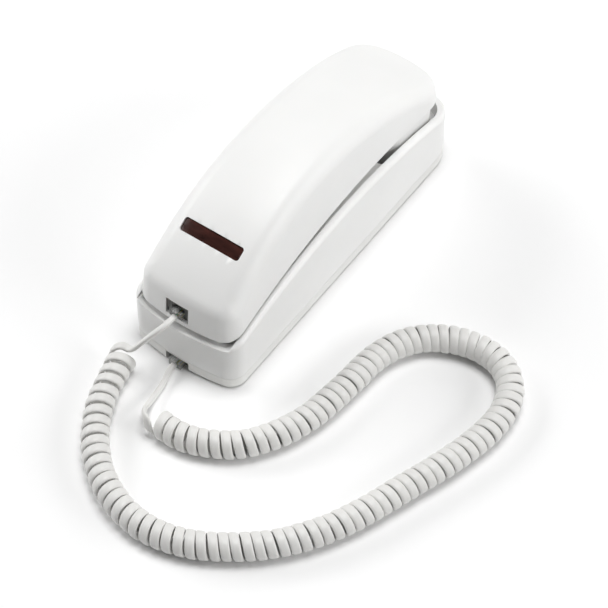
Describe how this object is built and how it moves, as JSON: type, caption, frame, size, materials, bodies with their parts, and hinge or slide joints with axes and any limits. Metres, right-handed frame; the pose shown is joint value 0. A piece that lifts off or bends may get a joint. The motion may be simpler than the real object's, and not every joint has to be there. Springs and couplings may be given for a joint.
{
  "type": "slimline wall telephone",
  "caption": "Slimline corded wall telephone: arched handset with keypad resting on a long base, joined by a curly cord.",
  "frame": {"origin": "under the middle of the base, on the plane of its rubber feet", "axes": "+Y from the cord (mouthpiece) end to the earpiece end, +X to the right seen from the cord end, +Z away from the wall or table"},
  "size_m": [0.1974, 0.3124, 0.0925],
  "materials": {
    "casing": "satin white ABS",
    "back_plate": "matt off-white ABS",
    "keys": "satin light grey ABS",
    "lens": "smoked dark red acrylic",
    "rubber": "matt black rubber",
    "steel": "zinc plated steel",
    "board": "phenolic board",
    "dark_plastic": "black moulded plastic",
    "jack": "dark grey moulded plastic",
    "clear_plug": "clear polycarbonate",
    "gold": "gold plated wire",
    "cord": "satin white vinyl",
    "silicone": "grey silicone rubber",
    "lamp": "small red lamp"
  },
  "bodies": {
    "base": {"base_housing": "casing", "back_plate": "back_plate", "rubber_feet": "rubber", "base_screws": "steel", "base_board": "board", "board_screws": "steel", "capacitors": "dark_plastic", "speech_chip": "dark_plastic", "bridge_rectifier": "dark_plastic", "hook_switch": "dark_plastic", "hook_spring": "steel", "ringer_disc": "dark_plastic", "ringer_switch_body": "dark_plastic", "base_cord_jack": "jack", "base_jack_contacts": "gold", "base_cord_plug": "clear_plug", "line_jack": "jack", "base_lead": "cord", "curly_cord": "cord", "handset_lead": "cord"},
    "handset": {"handset_back_cover": "casing", "handset_face": "casing", "handset_screws": "steel", "lamp_lens": "lens", "lamp_board": "board", "lamps": "lamp", "keypad_membrane": "silicone", "handset_board": "board", "dial_chip": "dark_plastic", "receiver_gasket": "silicone", "receiver_capsule": "dark_plastic", "microphone_boot": "silicone", "microphone": "dark_plastic", "handset_weight": "steel", "volume_switch_body": "dark_plastic", "handset_jack": "jack", "handset_jack_contacts": "gold", "handset_cord_plug": "clear_plug"},
    "plunger": {"hook_plunger": "casing"},
    "ringer_knob": {"ringer_switch_knob": "casing"},
    "volume_knob": {"volume_knob": "casing"},
    "key_1": {"key_1": "keys"},
    "key_2": {"key_2": "keys"},
    "key_3": {"key_3": "keys"},
    "key_4": {"key_4": "keys"},
    "key_5": {"key_5": "keys"},
    "key_6": {"key_6": "keys"},
    "key_7": {"key_7": "keys"},
    "key_8": {"key_8": "keys"},
    "key_9": {"key_9": "keys"},
    "key_star": {"key_star": "keys"},
    "key_0": {"key_0": "keys"},
    "key_hash": {"key_hash": "keys"},
    "key_flash": {"key_flash": "keys"},
    "key_redial": {"key_redial": "keys"}
  },
  "joints": [
    {"name": "handset_lift", "type": "slide", "parent": "base", "child": "handset", "axis": [0, 0, 1], "range_m": [0, 0.08]},
    {"name": "hook_plunger_slide", "type": "slide", "parent": "base", "child": "plunger", "axis": [0, 0, 1], "range_m": [0, 0.0032], "deforming": ["hook_spring"]},
    {"name": "ringer_switch_slide", "type": "slide", "parent": "base", "child": "ringer_knob", "axis": [0, 1, 0], "range_m": [0, 0.003]},
    {"name": "volume_switch_slide", "type": "slide", "parent": "handset", "child": "volume_knob", "axis": [0, 1, 0], "range_m": [0, 0.006]},
    {"name": "key_1_press", "type": "slide", "parent": "handset", "child": "key_1", "axis": [0, 0, 1], "range_m": [0, 0.0012], "stiffness_N_per_m": 400},
    {"name": "key_2_press", "type": "slide", "parent": "handset", "child": "key_2", "axis": [0, 0, 1], "range_m": [0, 0.0012], "stiffness_N_per_m": 400},
    {"name": "key_3_press", "type": "slide", "parent": "handset", "child": "key_3", "axis": [0, 0, 1], "range_m": [0, 0.0012], "stiffness_N_per_m": 400},
    {"name": "key_4_press", "type": "slide", "parent": "handset", "child": "key_4", "axis": [0, 0, 1], "range_m": [0, 0.0012], "stiffness_N_per_m": 400},
    {"name": "key_5_press", "type": "slide", "parent": "handset", "child": "key_5", "axis": [0, 0, 1], "range_m": [0, 0.0012], "stiffness_N_per_m": 400},
    {"name": "key_6_press", "type": "slide", "parent": "handset", "child": "key_6", "axis": [0, 0, 1], "range_m": [0, 0.0012], "stiffness_N_per_m": 400},
    {"name": "key_7_press", "type": "slide", "parent": "handset", "child": "key_7", "axis": [0, 0, 1], "range_m": [0, 0.0012], "stiffness_N_per_m": 400},
    {"name": "key_8_press", "type": "slide", "parent": "handset", "child": "key_8", "axis": [0, 0, 1], "range_m": [0, 0.0012], "stiffness_N_per_m": 400},
    {"name": "key_9_press", "type": "slide", "parent": "handset", "child": "key_9", "axis": [0, 0, 1], "range_m": [0, 0.0012], "stiffness_N_per_m": 400},
    {"name": "key_star_press", "type": "slide", "parent": "handset", "child": "key_star", "axis": [0, 0, 1], "range_m": [0, 0.0012], "stiffness_N_per_m": 400},
    {"name": "key_0_press", "type": "slide", "parent": "handset", "child": "key_0", "axis": [0, 0, 1], "range_m": [0, 0.0012], "stiffness_N_per_m": 400},
    {"name": "key_hash_press", "type": "slide", "parent": "handset", "child": "key_hash", "axis": [0, 0, 1], "range_m": [0, 0.0012], "stiffness_N_per_m": 400},
    {"name": "key_flash_press", "type": "slide", "parent": "handset", "child": "key_flash", "axis": [0, 0, 1], "range_m": [0, 0.0012], "stiffness_N_per_m": 400},
    {"name": "key_redial_press", "type": "slide", "parent": "handset", "child": "key_redial", "axis": [0, 0, 1], "range_m": [0, 0.0012], "stiffness_N_per_m": 400}
  ],
  "couplings": [
    {"joint": "hook_plunger_slide", "follows": "handset_lift", "ratio": 0.04}
  ]
}
